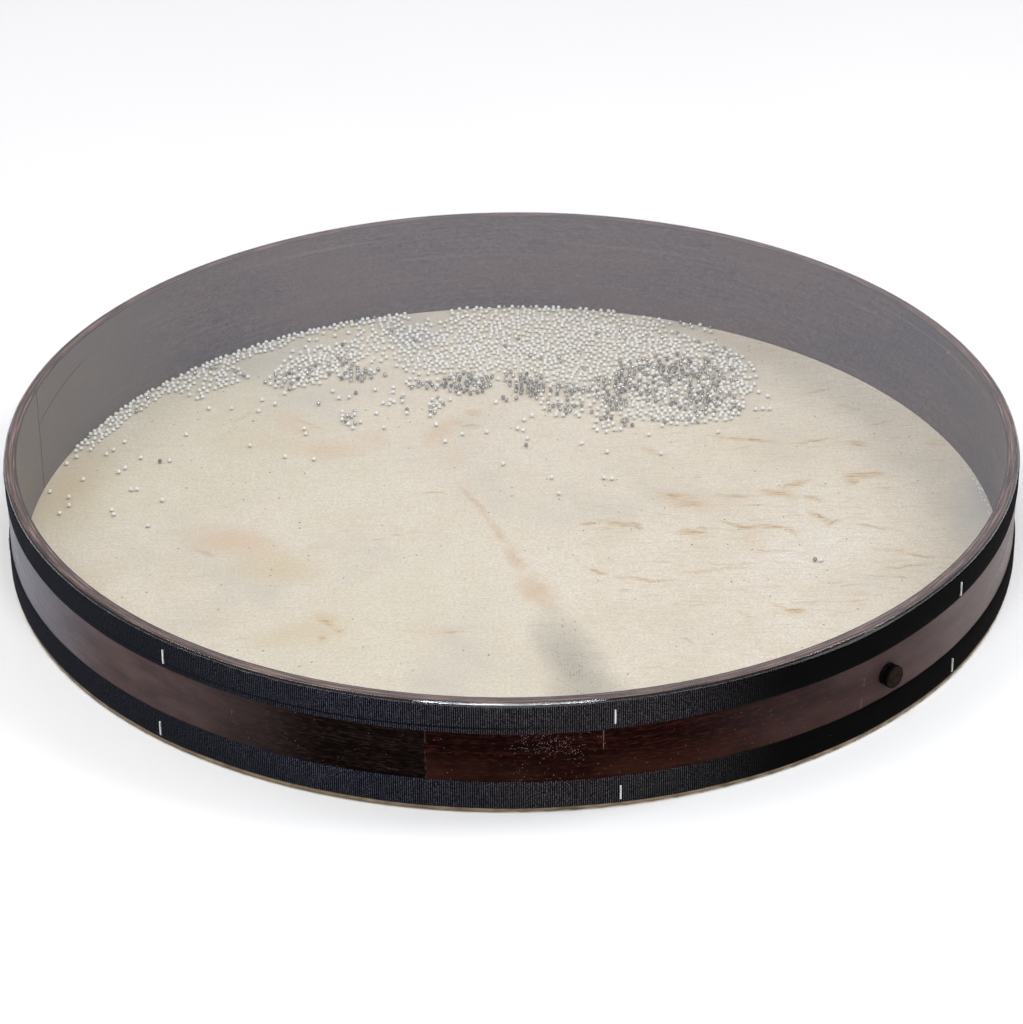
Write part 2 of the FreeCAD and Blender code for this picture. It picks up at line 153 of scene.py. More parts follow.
class Graph:
    """A node tree with short calls for the nodes that repeat."""

    def __init__(self, tree):
        self.tree = tree
        tree.nodes.clear()

    def feed(self, socket, value):
        if isinstance(value, bpy.types.NodeSocket):
            self.tree.links.new(value, socket)
        elif isinstance(value, (tuple, list)) and len(value) == 3 and socket.type == "RGBA":
            socket.default_value = (*value, 1)
        else:
            socket.default_value = value

    def add(self, kind, inputs=None, **settings):
        node = self.tree.nodes.new(f"ShaderNode{kind}")
        for key, value in settings.items():
            setattr(node, key, value)
        for key, value in (inputs or {}).items():
            self.feed(node.inputs[key], value)
        return node

    def math(self, operation, *values, clamp=False):
        inputs = dict(enumerate(values))
        return self.add("Math", inputs, operation=operation, use_clamp=clamp).outputs[0]

    def product(self, *values):
        made = values[0]
        for value in values[1:]:
            made = self.math("MULTIPLY", made, value)
        return made

    def largest(self, *values):
        made = values[0]
        for value in values[1:]:
            made = self.math("MAXIMUM", made, value)
        return made

    def vector(self, operation, *values):
        inputs = dict(enumerate(values))
        return self.add("VectorMath", inputs, operation=operation).outputs[0]

    def combine(self, x, y, z):
        return self.add("CombineXYZ", {"X": x, "Y": y, "Z": z}).outputs[0]

    def smooth(self, value, start, end, low=0.0, high=1.0):
        """A smooth step from low at start to high at end."""
        inputs = {"Value": value, "From Min": start, "From Max": end, "To Min": low, "To Max": high}
        return self.add("MapRange", inputs, interpolation_type="SMOOTHSTEP").outputs[0]

    def noise(self, vector, scale, detail=2.0, roughness=0.5, colour=False):
        inputs = {"Vector": vector, "Scale": scale, "Detail": detail, "Roughness": roughness}
        return self.add("TexNoise", inputs).outputs["Color" if colour else "Fac"]

    def warp(self, vector, scale, amount, detail=2.0):
        """The vector, pushed about by a noise."""
        shaken = self.vector("SUBTRACT", self.noise(vector, scale, detail, colour=True), (0.5, 0.5, 0.5))
        push = self.vector("MULTIPLY", shaken, (amount, amount, amount))
        return self.vector("ADD", vector, push)

    def dots(self, vector, scale, size, share, dimensions="3D"):
        """Small round dots, one in some cells of a random grid. share is how many cells have one."""
        inputs = {"Vector": vector, "Scale": scale}
        cell = self.add("TexVoronoi", inputs, voronoi_dimensions=dimensions)
        near = self.smooth(cell.outputs["Distance"], size, size * 0.5)
        luck = self.add("SeparateColor", {"Color": cell.outputs["Color"]}).outputs[0]
        chosen = self.math("LESS_THAN", luck, share)
        return self.product(near, chosen)

    def mix(self, factor, a, b, blend="MIX"):
        node = self.add("Mix", data_type="RGBA", blend_type=blend, clamp_factor=True)
        self.feed(node.inputs[0], factor)
        self.feed(node.inputs[6], a)
        self.feed(node.inputs[7], b)
        return node.outputs[2]

    def tint(self, tone, colour, *masks):
        """The tone, with a colour laid over it by the product of the masks."""
        return self.mix(self.product(*masks), tone, colour)

    def ramp(self, value, *stops):
        """A colour ramp from (position, colour) stops."""
        node = self.add("ValToRGB", {"Fac": value})
        elements = node.color_ramp.elements
        while len(elements) < len(stops):
            elements.new(0.5)
        for element, (position, colour) in zip(elements, stops):
            element.position = position
            element.color = (*colour, 1)
        return node.outputs[0]

    def bump(self, height, distance, strength=1.0, normal=None):
        inputs = {"Height": height, "Distance": distance, "Strength": strength}
        if normal:
            inputs["Normal"] = normal
        return self.add("Bump", inputs).outputs[0]


class Surface(Graph):
    """A material's graph, with the places on the drum that its texture nodes need."""

    def __init__(self, name):
        self.material = bpy.data.materials.new(name)
        self.material.use_nodes = True
        super().__init__(self.material.node_tree)
        self.place = self.add("TexCoord").outputs["Object"]
        split = self.add("SeparateXYZ", {"Vector": self.place})
        self.x, self.y, self.z = split.outputs
        flat = self.combine(self.x, self.y, 0.0)
        self.radius = self.add("VectorMath", {0: flat}, operation="LENGTH").outputs["Value"]

    def aside(self, azimuth):
        """Distance along the wall from an azimuth, growing with azimuth, and how far ahead it is."""
        turn = math.radians(azimuth)
        sine, cosine = math.sin(turn), math.cos(turn)
        across = self.math("SUBTRACT", self.product(self.y, cosine), self.product(self.x, sine))
        ahead = self.math("ADD", self.product(self.x, cosine), self.product(self.y, sine))
        return across, ahead

    def by_x(self, start, end, low=0.0, high=1.0):
        """A smooth step along X, its start and end in shares of the drum's radius."""
        return self.smooth(self.x, start * DRUM_RADIUS, end * DRUM_RADIUS, low, high)

    def upright_line(self, azimuth, width):
        """1 on an upright line on the wall at an azimuth."""
        across, ahead = self.aside(azimuth)
        near = self.smooth(self.math("ABSOLUTE", across), width, width * 0.4)
        return self.product(near, self.math("GREATER_THAN", ahead, 0.0))

    def round_rim(self, stretch):
        """Texture coordinates that run round the drum, tight across its rim."""
        return self.combine(self.x, self.y, self.product(self.radius, stretch))

    def along_wall(self, stretch):
        """Texture coordinates that run along the wall and over its rim, tight across the grain."""
        across = self.math("ADD", self.z, self.radius)
        return self.combine(self.x, self.y, self.product(across, stretch))

    def finish(self, **inputs):
        """The material, from a principled shader with these inputs."""
        shader = self.add("BsdfPrincipled", {key.replace("_", " "): v for key, v in inputs.items()})
        return self.output(shader.outputs[0])

    def output(self, shader):
        self.add("OutputMaterial", {"Surface": shader})
        return self.material


def make_world():
    """A dim studio with a pale wall behind the drum, which the film mirrors. It shows pale."""
    world = bpy.data.worlds.new("studio")
    world.use_nodes = True
    graph = Graph(world.node_tree)
    direction = graph.add("SeparateXYZ", {"Vector": graph.add("TexCoord").outputs["Generated"]})
    behind = graph.smooth(direction.outputs["Y"], 0.0, 0.5)
    low = graph.smooth(direction.outputs["Z"], 0.95, 0.7)
    lit = graph.smooth(direction.outputs["X"], -0.16, -0.03, 0.45, 1.0)
    wall = graph.product(behind, low, lit)
    room = graph.mix(wall, (0.3, 0.3, 0.31), (0.64, 0.63, 0.695))
    seen = graph.add("LightPath").outputs["Is Camera Ray"]
    colour = graph.mix(seen, room, (0.98, 0.98, 0.98))
    background = graph.add("Background", {"Color": colour, "Strength": 1.0})
    graph.add("OutputWorld", {"Surface": background.outputs[0]})
    bpy.context.scene.world = world


# ---------------------------------------------------------------- materials


def dashes(surface, stretch, scale, size, share):
    """Fine short scratches: dots in a random grid that is stretched along one way."""
    bent = surface.warp(surface.place, 60.0, 3 * MM)
    return surface.dots(surface.vector("MULTIPLY", bent, stretch), scale, size, share)


def rim_wood(surface):
    """The bare edge of the plies: pinkish brown, with dark glue lines and broken pores."""
    grain = surface.noise(surface.round_rim(26.0), 42.0, 5.0, 0.62)
    tone = surface.ramp(
        grain,
        (0.38, (0.018, 0.008, 0.006)),
        (0.46, (0.09, 0.046, 0.034)),
        (0.56, (0.215, 0.128, 0.1)),
        (0.72, (0.42, 0.275, 0.22)),
    )
    pores = surface.smooth(surface.noise(surface.round_rim(9.0), 240.0, 2.0, 0.5), 0.62, 0.72)
    tone = surface.tint(tone, (0.03, 0.012, 0.009), pores, 0.8)
    glue = None
    for joint in (CORE_INNER, CORE_OUTER):
        off = surface.math("ABSOLUTE", surface.math("SUBTRACT", surface.radius, joint))
        line = surface.smooth(off, 0.55 * MM, 0.15 * MM)
        glue = surface.largest(glue, line) if glue else line
    starved = surface.smooth(surface.noise(surface.place, 55.0, 3.0), 0.3, 0.55, 0.25, 0.95)
    return surface.mix(surface.product(glue, starved), tone, (0.02, 0.009, 0.008))


def wall_wood(surface, dark, middle, light):
    """Stained veneer with its grain along the wall. Returns its colour and its height for bump."""
    broad = surface.noise(surface.along_wall(40.0), 20.0, 5.0, 0.65)
    close = surface.noise(surface.along_wall(5.0), 230.0, 3.0, 0.6)
    grain = surface.math("MULTIPLY_ADD", close, 0.6, surface.product(broad, 0.4))
    tone = surface.ramp(grain, (0.36, dark), (0.5, middle), (0.64, light))
    pores = surface.smooth(surface.noise(surface.along_wall(16.0), 95.0, 3.0, 0.55), 0.6, 0.7)
    tone = surface.tint(tone, dark, pores, 0.7)
    height = surface.math("SUBTRACT", grain, surface.product(pores, 0.6))
    return tone, height


def stained_outer(name):
    """The outer ply: dark red-brown stain under lacquer, lighter low down and near black at the top, a
    seam, dust, scratches, a bare rim, and painted reflection and sheen towards the left and right.
    """
    surface = Surface(name)
    tone, height = wall_wood(
        surface, (0.0012, 0.0004, 0.0004), (0.0105, 0.002, 0.0014), (0.048, 0.011, 0.0075)
    )
    brown, _ = wall_wood(
        surface, (0.0012, 0.0006, 0.0005), (0.006, 0.0028, 0.0022), (0.03, 0.0165, 0.013)
    )
    across, _ = surface.aside(OUTER_SEAM_AZIMUTH)
    past_seam = surface.smooth(across, -0.2 * MM, 0.2 * MM)
    tone = surface.mix(past_seam, brown, tone)
    # Lighter and redder towards the bottom, in patches, past the seam.
    lighter_brown = surface.smooth(surface.z, 0.038, 0.02)
    lighter_brown = surface.product(lighter_brown, surface.smooth(surface.noise(surface.place, 30.0, 3.0), 0.25, 0.7))
    tone = surface.tint(tone, (0.05, 0.017, 0.011), lighter_brown, past_seam, 0.7)
    seam = surface.upright_line(OUTER_SEAM_AZIMUTH, 0.35 * MM)
    upper = surface.smooth(surface.z, 0.034, 0.037)
    nick = surface.product(surface.upright_line(NICK_AZIMUTH, 0.3 * MM), upper)
    scrape_across, _ = surface.aside(SCRAPE_AZIMUTH)
    scrape_at = surface.math("ADD", scrape_across, surface.product(surface.z, -0.12))
    scrape_off = surface.math("ABSOLUTE", surface.math("ADD", scrape_at, 3.6 * MM))
    front = surface.math("LESS_THAN", surface.y, 0.0)
    scrape = surface.product(surface.smooth(scrape_off, 0.5 * MM, 0.2 * MM), front)
    scrape = surface.product(scrape, surface.smooth(surface.z, 0.039, 0.036))
    broken = surface.smooth(surface.noise(surface.place, 300.0, 2.0), 0.38, 0.56)
    pale_lines = surface.largest(seam, nick, scrape)
    tone = surface.tint(tone, (0.17, 0.12, 0.11), pale_lines, broken, 0.85)
    dusty, _ = surface.aside(DUST_AZIMUTH)
    patch = surface.smooth(surface.math("ABSOLUTE", dusty), 0.034, 0.006)
    patch = surface.product(patch, surface.smooth(surface.z, 0.02, 0.044, 0.25, 1.0))
    cloud = surface.smooth(surface.noise(surface.place, 90.0, 3.0), 0.4, 0.62)
    share = surface.math("ADD", surface.product(patch, cloud, 0.95), 0.012)
    dust = surface.dots(surface.warp(surface.place, 900.0, 0.7 * MM), 1400.0, 0.3, share)
    tone = surface.tint(tone, (0.46, 0.38, 0.35), dust, 0.8)
    lines = dashes(surface, (1.0, 1.0, 0.08), 420.0, 0.14, 0.012)
    tone = surface.tint(tone, (0.2, 0.16, 0.14), lines, broken, 0.5)
    # Painted reflection: the lacquer greyer towards the left and the right, in uneven patches.
    painted_reflection = surface.largest(
        surface.by_x(-0.32, -0.76),
        surface.by_x(0.24, 1.0, 0.0, 0.95),
    )
    rubbed = surface.smooth(surface.noise(surface.along_wall(3.0), 30.0, 5.0), 0.25, 0.7, 0.6, 1.0)
    tone = surface.tint(tone, (0.142, 0.095, 0.092), painted_reflection, rubbed)
    # Painted sheen: blue-grey at the far left and warm grey at the far right.
    sheen = surface.by_x(-0.72, -0.98, 0.0, 0.85)
    tone = surface.mix(sheen, tone, (0.27, 0.28, 0.32))
    sheen = surface.by_x(0.66, 0.95, 0.0, 0.6)
    tone = surface.mix(sheen, tone, (0.24, 0.2, 0.19))
    # Near black towards the top of the wall, under the film's bend.
    dark_top = surface.smooth(surface.z, HOOP_HIGH - 5 * MM, HOOP_HIGH - 3 * MM)
    tone = surface.mix(dark_top, tone, (0.004, 0.003, 0.004))
    flat = surface.smooth(surface.z, HOOP_HIGH - 0.5 * MM, HOOP_HIGH - 0.2 * MM)
    inside = surface.smooth(surface.radius, WALL_OUTER - 0.6 * MM, WALL_OUTER - 1.1 * MM)
    rim = surface.product(flat, inside)
    tone = surface.mix(rim, tone, rim_wood(surface))
    rough = surface.smooth(surface.noise(surface.along_wall(9.0), 40.0, 4.0), 0.3, 0.7, 0.2, 0.36)
    rough = surface.math("ADD", rough, surface.product(dust, 0.3))
    bump = surface.bump(height, 0.05 * MM, 0.6)
    bump = surface.bump(surface.product(surface.largest(seam, lines), -1.0), 0.12 * MM, 0.8, bump)
    return surface.finish(
        Base_Color=tone, Roughness=rough, Normal=bump, Specular_IOR_Level=0.015
    )


def plain_core(name):
    """The middle ply, of which only the edge shows."""
    surface = Surface(name)
    height = surface.noise(surface.round_rim(26.0), 60.0, 4.0)
    return surface.finish(
        Base_Color=rim_wood(surface),
        Roughness=0.6,
        Normal=surface.bump(height, 0.12 * MM, 0.7),
        Specular_IOR_Level=0.25,
    )


def stained_inner(name):
    """The inner ply: a dull stained wall with a seam and a crack, and a bare rim with a dark edge."""
    surface = Surface(name)
    tone, height = wall_wood(
        surface, (0.022, 0.015, 0.017), (0.066, 0.048, 0.051), (0.13, 0.1, 0.102)
    )
    clouds = surface.noise(surface.along_wall(2.0), 7.0, 4.0, 0.6)
    tone = surface.mix(surface.smooth(clouds, 0.5, 0.64, 0.0, 0.55), tone, (0.125, 0.064, 0.052))
    tone = surface.mix(surface.smooth(clouds, 0.48, 0.34, 0.0, 0.85), tone, (0.038, 0.036, 0.056))
    sweeps = surface.smooth(surface.noise(surface.along_wall(90.0), 6.0, 3.0, 0.5), 0.62, 0.7)
    tone = surface.tint(tone, (0.2, 0.185, 0.18), sweeps, 0.35)
    lint = surface.smooth(surface.noise(surface.place, 700.0, 3.0, 0.7), 0.48, 0.66, 0.0, 0.55)
    tone = surface.mix(lint, tone, (0.17, 0.155, 0.158))
    daylit = surface.by_x(-0.62, -0.94)
    tone = surface.tint(tone, (0.175, 0.15, 0.128), daylit, 0.7)
    seam = surface.upright_line(INNER_SEAM_AZIMUTH, 0.9 * MM)
    across, ahead = surface.aside(INNER_SEAM_AZIMUTH)
    crack_height = surface.math("ADD", surface.product(across, -0.12), 0.0415)
    crack_height = surface.math(
        "ADD", crack_height, surface.product(surface.noise(surface.place, 90.0), 0.002)
    )
    off = surface.math("ABSOLUTE", surface.math("SUBTRACT", surface.z, crack_height))
    crack = surface.product(
        surface.smooth(off, 0.6 * MM, 0.25 * MM),
        surface.smooth(across, 0.0, -0.5 * MM),
        surface.smooth(across, -0.075, -0.055),
        surface.math("GREATER_THAN", ahead, 0.0),
    )
    marks = surface.largest(seam, crack)
    tone = surface.tint(tone, (0.006, 0.004, 0.004), marks, 0.85)
    lines = surface.largest(
        dashes(surface, (0.07, 0.07, 1.0), 260.0, 0.1, 0.01),
        dashes(surface, (0.6, 0.6, 0.2), 330.0, 0.12, 0.008),
    )
    tone = surface.tint(tone, (0.42, 0.4, 0.38), lines, 0.8)
    specks = surface.dots(surface.place, 420.0, 0.18, 0.02)
    tone = surface.tint(tone, (0.42, 0.4, 0.38), specks, 0.7)
    flat = surface.smooth(surface.z, HOOP_HIGH - 0.5 * MM, HOOP_HIGH - 0.2 * MM)
    rim = rim_wood(surface)
    edge = surface.smooth(surface.radius, WALL_INNER + 1.0 * MM, WALL_INNER + 0.5 * MM)
    rim = surface.tint(rim, (0.016, 0.01, 0.009), edge, 0.9)
    tone = surface.mix(flat, tone, rim)
    bump = surface.bump(height, 0.06 * MM, 0.6)
    bump = surface.bump(surface.product(surface.largest(marks, lines), -1.0), 0.3 * MM, 0.8, bump)
    return surface.finish(
        Base_Color=tone, Roughness=0.5, Normal=bump, Specular_IOR_Level=0.25
    )


def clear_film(name):
    """Clear polyester: it shows what is behind it, and mirrors more at a low angle."""
    surface = Surface(name)
    facing = surface.add("LayerWeight", {"Blend": 0.5}).outputs["Facing"]
    mirror = surface.math("POWER", facing, 4.3)
    mirror = surface.math("MULTIPLY_ADD", mirror, 0.96, 0.04)
    smudges = surface.noise(surface.place, 14.0, 4.0, 0.6)
    rough = surface.smooth(smudges, 0.35, 0.75, 0.02, 0.07)
    wavy = surface.bump(surface.noise(surface.place, 9.0, 1.0), 0.3 * MM, 0.3)
    gloss = surface.add("BsdfGlossy", {"Color": (1, 1, 1), "Roughness": rough, "Normal": wavy})
    clear = surface.add("BsdfTransparent", {"Color": (0.985, 0.985, 0.98)})
    shader = surface.add("MixShader", {0: mirror, 1: clear.outputs[0], 2: gloss.outputs[0]})
    return surface.output(shader.outputs[0])


# Marks on the goatskin: x, y, turn in degrees, half length and half width, all in shares of the
# drum's radius, and strength.
STREAKS = (
    (0.33, 0.12, -8, 0.06, 0.022, 0.7), (0.36, 0.085, 12, 0.05, 0.012, 0.8),
    (0.46, 0.12, -4, 0.07, 0.006, 0.5), (0.54, 0.13, -14, 0.055, 0.012, 0.9),
    (0.58, 0.165, 28, 0.05, 0.009, 0.8), (0.61, 0.11, -30, 0.035, 0.009, 0.7),
    (0.72, 0.205, 6, 0.06, 0.013, 0.9), (0.7, 0.18, 60, 0.025, 0.01, 0.7),
    (0.72, 0.33, -8, 0.03, 0.011, 0.9), (0.49, 0.355, -12, 0.11, 0.006, 0.9),
    (0.63, 0.35, 16, 0.08, 0.005, 0.8), (0.47, 0.315, 14, 0.05, 0.005, 0.5),
    (0.29, 0.31, -55, 0.04, 0.01, 0.4), (0.16, 0.012, 20, 0.03, 0.006, 0.7),
    (0.21, 0.015, -16, 0.055, 0.008, 0.9), (0.25, 0.005, -40, 0.03, 0.006, 0.7),
    (0.36, -0.03, -10, 0.04, 0.009, 0.9), (0.38, -0.015, 35, 0.025, 0.006, 0.6),
    (0.46, 0.000, -22, 0.05, 0.006, 0.9), (0.52, -0.01, -6, 0.06, 0.008, 0.8),
    (0.56, -0.03, -50, 0.022, 0.007, 0.7), (0.62, 0.035, -38, 0.045, 0.007, 0.8),
    (0.65, 0.01, 20, 0.04, 0.005, 0.7), (0.72, -0.005, -10, 0.06, 0.004, 0.5),
    (0.17, -0.175, -38, 0.035, 0.005, 0.9), (0.26, -0.205, -4, 0.08, 0.005, 0.8),
    (0.37, -0.18, 8, 0.08, 0.004, 0.6), (0.44, -0.15, 5, 0.07, 0.004, 0.4),
    (0.8, -0.125, -14, 0.06, 0.005, 0.8), (0.78, -0.165, 4, 0.07, 0.004, 0.7),
    (0.74, -0.205, -6, 0.08, 0.004, 0.7), (0.68, -0.265, -8, 0.06, 0.004, 0.5),
    (0.66, -0.29, 2, 0.05, 0.003, 0.5), (0.51, -0.305, -28, 0.025, 0.005, 0.7),
    (0.545, -0.325, -4, 0.03, 0.006, 1.0), (0.45, -0.335, -55, 0.03, 0.004, 0.4),
    (0.335, -0.43, -50, 0.022, 0.004, 0.7), (0.66, 0.57, 25, 0.06, 0.004, 0.5),
    (0.71, 0.5, -35, 0.04, 0.006, 0.4), (0.78, 0.42, 30, 0.05, 0.005, 0.4),
    (-0.08, 0.48, 25, 0.035, 0.012, 0.6), (-0.09, 0.43, -20, 0.045, 0.008, 0.5),
    (-0.16, 0.14, 4, 0.04, 0.005, 0.5), (-0.22, -0.02, 14, 0.055, 0.004, 0.4),
    (-0.27, -0.05, 30, 0.03, 0.004, 0.3), (-0.62, -0.085, -30, 0.045, 0.006, 0.5),
    (-0.36, -0.36, -45, 0.04, 0.006, 0.8), (-0.335, -0.385, 20, 0.022, 0.006, 0.7),
    (-0.37, -0.42, 75, 0.03, 0.006, 0.6), (-0.12, -0.4, 10, 0.055, 0.005, 0.5),
    (-0.43, 0.44, -35, 0.06, 0.005, 0.5), (-0.57, 0.47, 55, 0.05, 0.004, 0.4),
)
PEACH_PATCHES = (
    (-0.38, 0.33, -10, 0.13, 0.08, 0.8), (-0.3, 0.37, 0, 0.07, 0.06, 0.6),
    (-0.56, -0.05, -20, 0.15, 0.08, 1.0), (-0.14, 0.41, 70, 0.09, 0.04, 0.9),
    (-0.13, 0.27, 80, 0.1, 0.04, 0.4), (-0.46, 0.44, -30, 0.09, 0.05, 0.6),
    (-0.24, 0.005, 0, 0.03, 0.02, 0.5), (0.55, -0.32, -20, 0.06, 0.03, 0.6),
    (0.38, 0.1, 0, 0.12, 0.06, 0.5), (0.49, -0.05, -80, 0.12, 0.03, 0.4),
    (0.06, 0.56, 0, 0.09, 0.05, 0.5), (-0.16, -0.4, 10, 0.09, 0.03, 0.4),
)
YELLOW_PATCHES = (
    (-0.47, -0.14, -10, 0.14, 0.1, 0.8), (-0.4, -0.4, 15, 0.14, 0.08, 0.7),
    (-0.36, -0.35, -40, 0.05, 0.04, 1.0), (-0.52, 0.37, 0, 0.16, 0.08, 0.5),
    (-0.92, 0.16, 75, 0.32, 0.13, 1.0), (-0.84, -0.25, -60, 0.25, 0.1, 0.7),
    (0.5, 0.3, 0, 0.3, 0.16, 0.3),
)
# Painted shade on the skin near the wall: grey-blue patches.
WALL_SHADE_PATCHES = (
    (-0.22, 0.85, 30, 0.09, 0.13, 0.9), (0.42, 0.9, 0, 0.12, 0.05, 0.7),
    (-0.55, 0.7, 30, 0.3, 0.12, 0.5), (0.97, 0.13, 78, 0.3, 0.09, 1.0),
)
WEDGE = ((0.115, -0.52, -75, 0.24, 0.075, 1.0), (0.15, -0.66, -75, 0.2, 0.1, 0.9))
# The line where the goat's spine was: points along it and its half width at each.
SPINE = (
    (-0.11, 0.18, 0.006),
    (-0.045, 0.03, 0.007),
    (-0.01, -0.07, 0.01),
    (0.02, -0.18, 0.017),
    (0.075, -0.31, 0.034),
)


def ovals(surface, point, marks, spread=1.0):
    """The strongest of several soft ovals at each point. spread widens them all."""
    made = None
    for x, y, turn, half_length, half_width, strength in marks:
        inputs = {
            "Vector": point,
            "Location": (x * DRUM_RADIUS, y * DRUM_RADIUS, 0),
            "Rotation": (0, 0, math.radians(turn)),
            "Scale": (half_length * DRUM_RADIUS, spread * half_width * DRUM_RADIUS, 1),
        }
        local = surface.add("Mapping", inputs, vector_type="TEXTURE").outputs[0]
        away = surface.add("VectorMath", {0: local}, operation="LENGTH").outputs["Value"]
        oval = surface.smooth(away, 1.0, 0.0, 0.0, strength)
        made = surface.largest(made, oval) if made else oval
    return made


def spine_mask(surface, point):
    """A soft crooked line through the points of the spine, widening as it goes."""
    made = None
    for (ax, ay, half), (bx, by, end_half) in zip(SPINE, SPINE[1:]):
        middle = ((ax + bx) / 2, (ay + by) / 2)
        turn = math.degrees(math.atan2(by - ay, bx - ax))
        length = math.hypot(bx - ax, by - ay)
        mark = ovals(surface, point, [(*middle, turn, length * 0.75, half + end_half, 1.0)])
        made = surface.largest(made, mark) if made else mark
    return made


def goatskin(name):
    """Cream goatskin: mottled and speckled, with hair marks, a spine line, a grey wedge, painted shade
    near the wall, and a tan edge with painted shade.
    """
    surface = Surface(name)
    flat = surface.combine(surface.x, surface.y, 0.0)
    soft = surface.warp(flat, 22.0, 0.03, 3.0)
    fine = surface.warp(surface.warp(flat, 45.0, 0.01), 190.0, 0.003, 3.0)
    mottle = surface.noise(flat, 9.0, 5.0, 0.6)
    tone = surface.ramp(
        mottle,
        (0.34, (0.7, 0.655, 0.56)),
        (0.47, (0.845, 0.76, 0.62)),
        (0.6, (0.9, 0.815, 0.685)),
        (0.7, (0.93, 0.87, 0.78)),
    )
    cloud = surface.smooth(surface.noise(flat, 26.0, 4.0, 0.6), 0.42, 0.72, 0.0, 0.55)
    tone = surface.mix(cloud, tone, (0.82, 0.7, 0.53))
    # Grey-blue painted shade near the wall.
    tone = surface.mix(ovals(surface, soft, WALL_SHADE_PATCHES), tone, (0.49, 0.505, 0.51))
    green = surface.smooth(surface.noise(flat, 5.0, 3.0, 0.6), 0.45, 0.62, 0.0, 0.45)
    green = surface.product(green, surface.by_x(0.25, -0.35))
    tone = surface.mix(green, tone, (0.76, 0.72, 0.52))
    yellow = surface.product(ovals(surface, soft, YELLOW_PATCHES), 0.9)
    tone = surface.mix(yellow, tone, (0.74, 0.59, 0.35))
    peach = surface.product(ovals(surface, soft, PEACH_PATCHES), 0.9)
    tone = surface.mix(peach, tone, (0.79, 0.56, 0.37))
    grainy = surface.smooth(surface.noise(flat, 210.0, 4.0, 0.7), 0.35, 0.68, 0.0, 0.3)
    tone = surface.mix(grainy, tone, (0.66, 0.56, 0.42))
    strands_at = surface.vector("MULTIPLY", fine, (1.0, 6.0, 1.0))
    strands = surface.smooth(surface.noise(strands_at, 80.0, 4.0, 0.65), 0.48, 0.55)
    wisps_at = surface.vector("MULTIPLY", surface.warp(flat, 20.0, 0.016), (1.0, 5.0, 1.0))
    wisps = surface.smooth(surface.noise(wisps_at, 26.0, 4.0, 0.62), 0.58, 0.7)
    right = surface.by_x(-0.05, 0.35, 0.25, 1.0)
    near = surface.smooth(surface.y, 0.45 * DRUM_RADIUS, 0.25 * DRUM_RADIUS, 0.2, 1.0)
    wisps = surface.product(wisps, right, near)
    streaks = ovals(surface, fine, STREAKS, spread=1.9)
    tone = surface.tint(tone, (0.79, 0.6, 0.38), wisps, 0.45)
    tone = surface.tint(tone, (0.76, 0.51, 0.23), streaks, 0.85)
    hairs = surface.product(surface.largest(streaks, surface.product(wisps, 0.45)), strands)
    tone = surface.mix(hairs, tone, (0.37, 0.22, 0.09))
    fibres_at = surface.vector("MULTIPLY", surface.warp(flat, 26.0, 0.008), (1.0, 9.0, 1.0))
    fibres = surface.smooth(surface.noise(fibres_at, 60.0, 5.0, 0.7), 0.5, 0.64, 0.0, 0.34)
    fibres = surface.product(fibres, surface.smooth(right, 0.25, 1.0, 0.6, 1.0))
    tone = surface.mix(fibres, tone, (0.6, 0.44, 0.24))
    spine = spine_mask(surface, surface.warp(flat, 60.0, 0.006, 3.0))
    thin_hair = surface.smooth(surface.noise(flat, 160.0, 3.0), 0.25, 0.65, 0.5, 1.0)
    tone = surface.tint(tone, (0.66, 0.43, 0.24), spine, thin_hair, 0.8)
    wedge_at = surface.warp(flat, 35.0, 0.012, 4.0)
    wedge = ovals(surface, wedge_at, WEDGE)
    wedge = surface.math("POWER", wedge, 0.6)
    tone = surface.tint(tone, (0.3, 0.295, 0.235), wedge, 0.7)
    speckle = surface.dots(flat, 640.0, 0.36, 0.6, "2D")
    speckle = surface.product(speckle, surface.smooth(surface.noise(flat, 120.0, 3.0), 0.35, 0.6), wedge)
    tone = surface.tint(tone, (0.075, 0.07, 0.045), speckle, 0.75)
    fluff = surface.smooth(surface.noise(flat, 620.0, 2.0, 0.6), 0.4, 0.62, 0.0, 0.42)
    tone = surface.mix(fluff, tone, (0.56, 0.49, 0.38))
    follicles = surface.dots(surface.warp(flat, 300.0, 2 * MM), 150.0, 0.095, 0.05, "2D")
    tone = surface.tint(tone, (0.08, 0.045, 0.02), follicles, 0.9)
    at_foot = surface.smooth(surface.radius, WALL_INNER - 5 * MM, WALL_INNER - 2 * MM)
    at_right = surface.by_x(0.935, 0.945)
    behind = surface.smooth(surface.y, 0.0, 0.04 * DRUM_RADIUS)
    crumbs = surface.product(surface.dots(flat, 420.0, 0.34, 0.55, "2D"), at_foot, at_right, behind)
    tone = surface.mix(crumbs, tone, (0.95, 0.95, 0.93))
    # The skin's edge where it wraps down round the hoop: tan, and darker for painted shade on its
    # downward side.
    skirt = surface.smooth(surface.radius, WALL_OUTER - 2.0 * MM, WALL_OUTER)
    blotches = surface.noise(surface.along_wall(1.0), 120.0, 4.0)
    hide = surface.ramp(blotches, (0.3, (0.15, 0.1, 0.06)), (0.7, (0.38, 0.28, 0.17)))
    tone = surface.mix(skirt, tone, hide)
    bump = surface.bump(surface.noise(flat, 60.0, 5.0, 0.6), 0.5 * MM, 0.5)
    bump = surface.bump(surface.noise(flat, 1100.0, 3.0, 0.6), 0.08 * MM, 0.6, bump)
    rough = surface.smooth(mottle, 0.3, 0.7, 0.5, 0.64)
    return surface.finish(Base_Color=tone, Roughness=rough, Normal=bump, Specular_IOR_Level=0.3)


